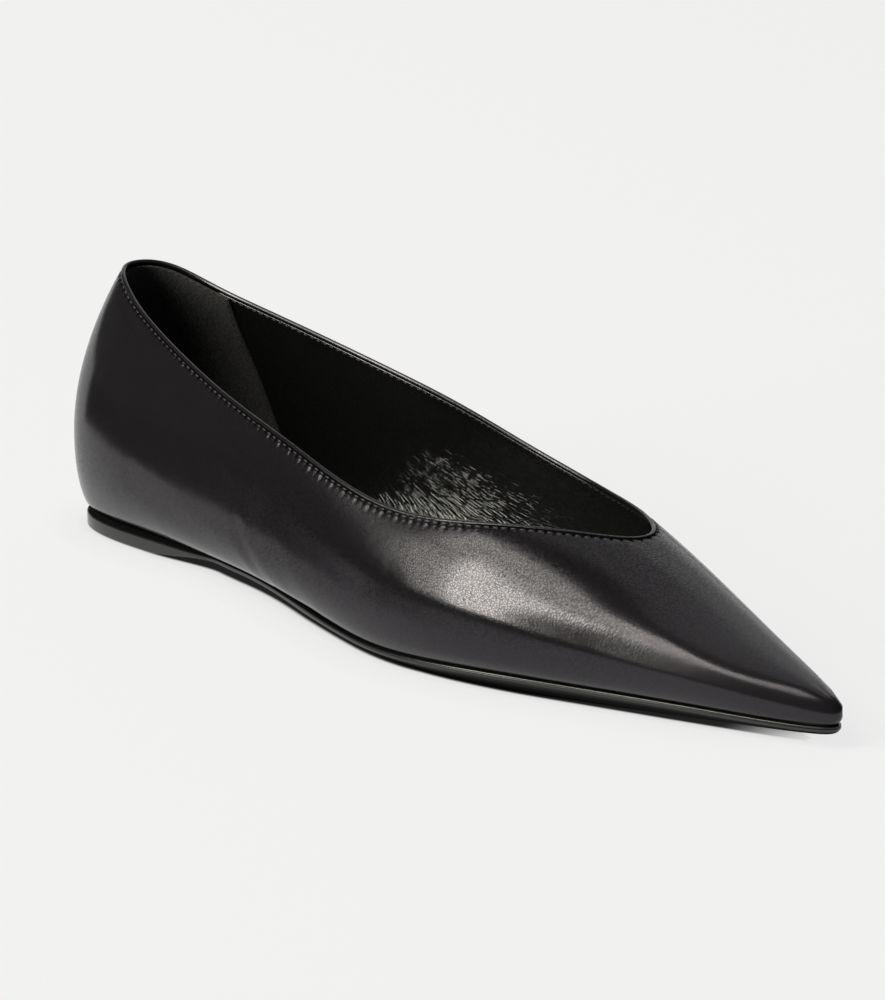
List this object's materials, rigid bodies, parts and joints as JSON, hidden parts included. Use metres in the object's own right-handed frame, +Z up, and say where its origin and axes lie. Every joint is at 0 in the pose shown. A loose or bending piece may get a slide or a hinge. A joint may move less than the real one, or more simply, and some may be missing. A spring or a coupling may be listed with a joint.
{
  "type": "ballet flat",
  "caption": "Pointed leather ballet flat for the right foot, with a hollow lasted upper, a V-shaped throat, a thin bevelled sole and a low heel lift.",
  "frame": {"origin": "on the floor under the middle of the shoe's bounding box", "axes": "+X from the heel to the toe tip, +Y to the inner side of the foot, +Z up"},
  "size_m": [0.2694, 0.0734, 0.069],
  "materials": {
    "upper_leather": "smooth fine-grained black leather, semi-gloss",
    "insole_leather": "soft black lining leather, glossy with a crinkled grain",
    "sole_leather": "black sole with an inked, polished edge",
    "lift_rubber": "black, satin"
  },
  "bodies": {
    "root": {"upper": "upper_leather", "insole": "insole_leather", "outsole": "sole_leather", "heel_lift": "lift_rubber"}
  },
  "joints": []
}
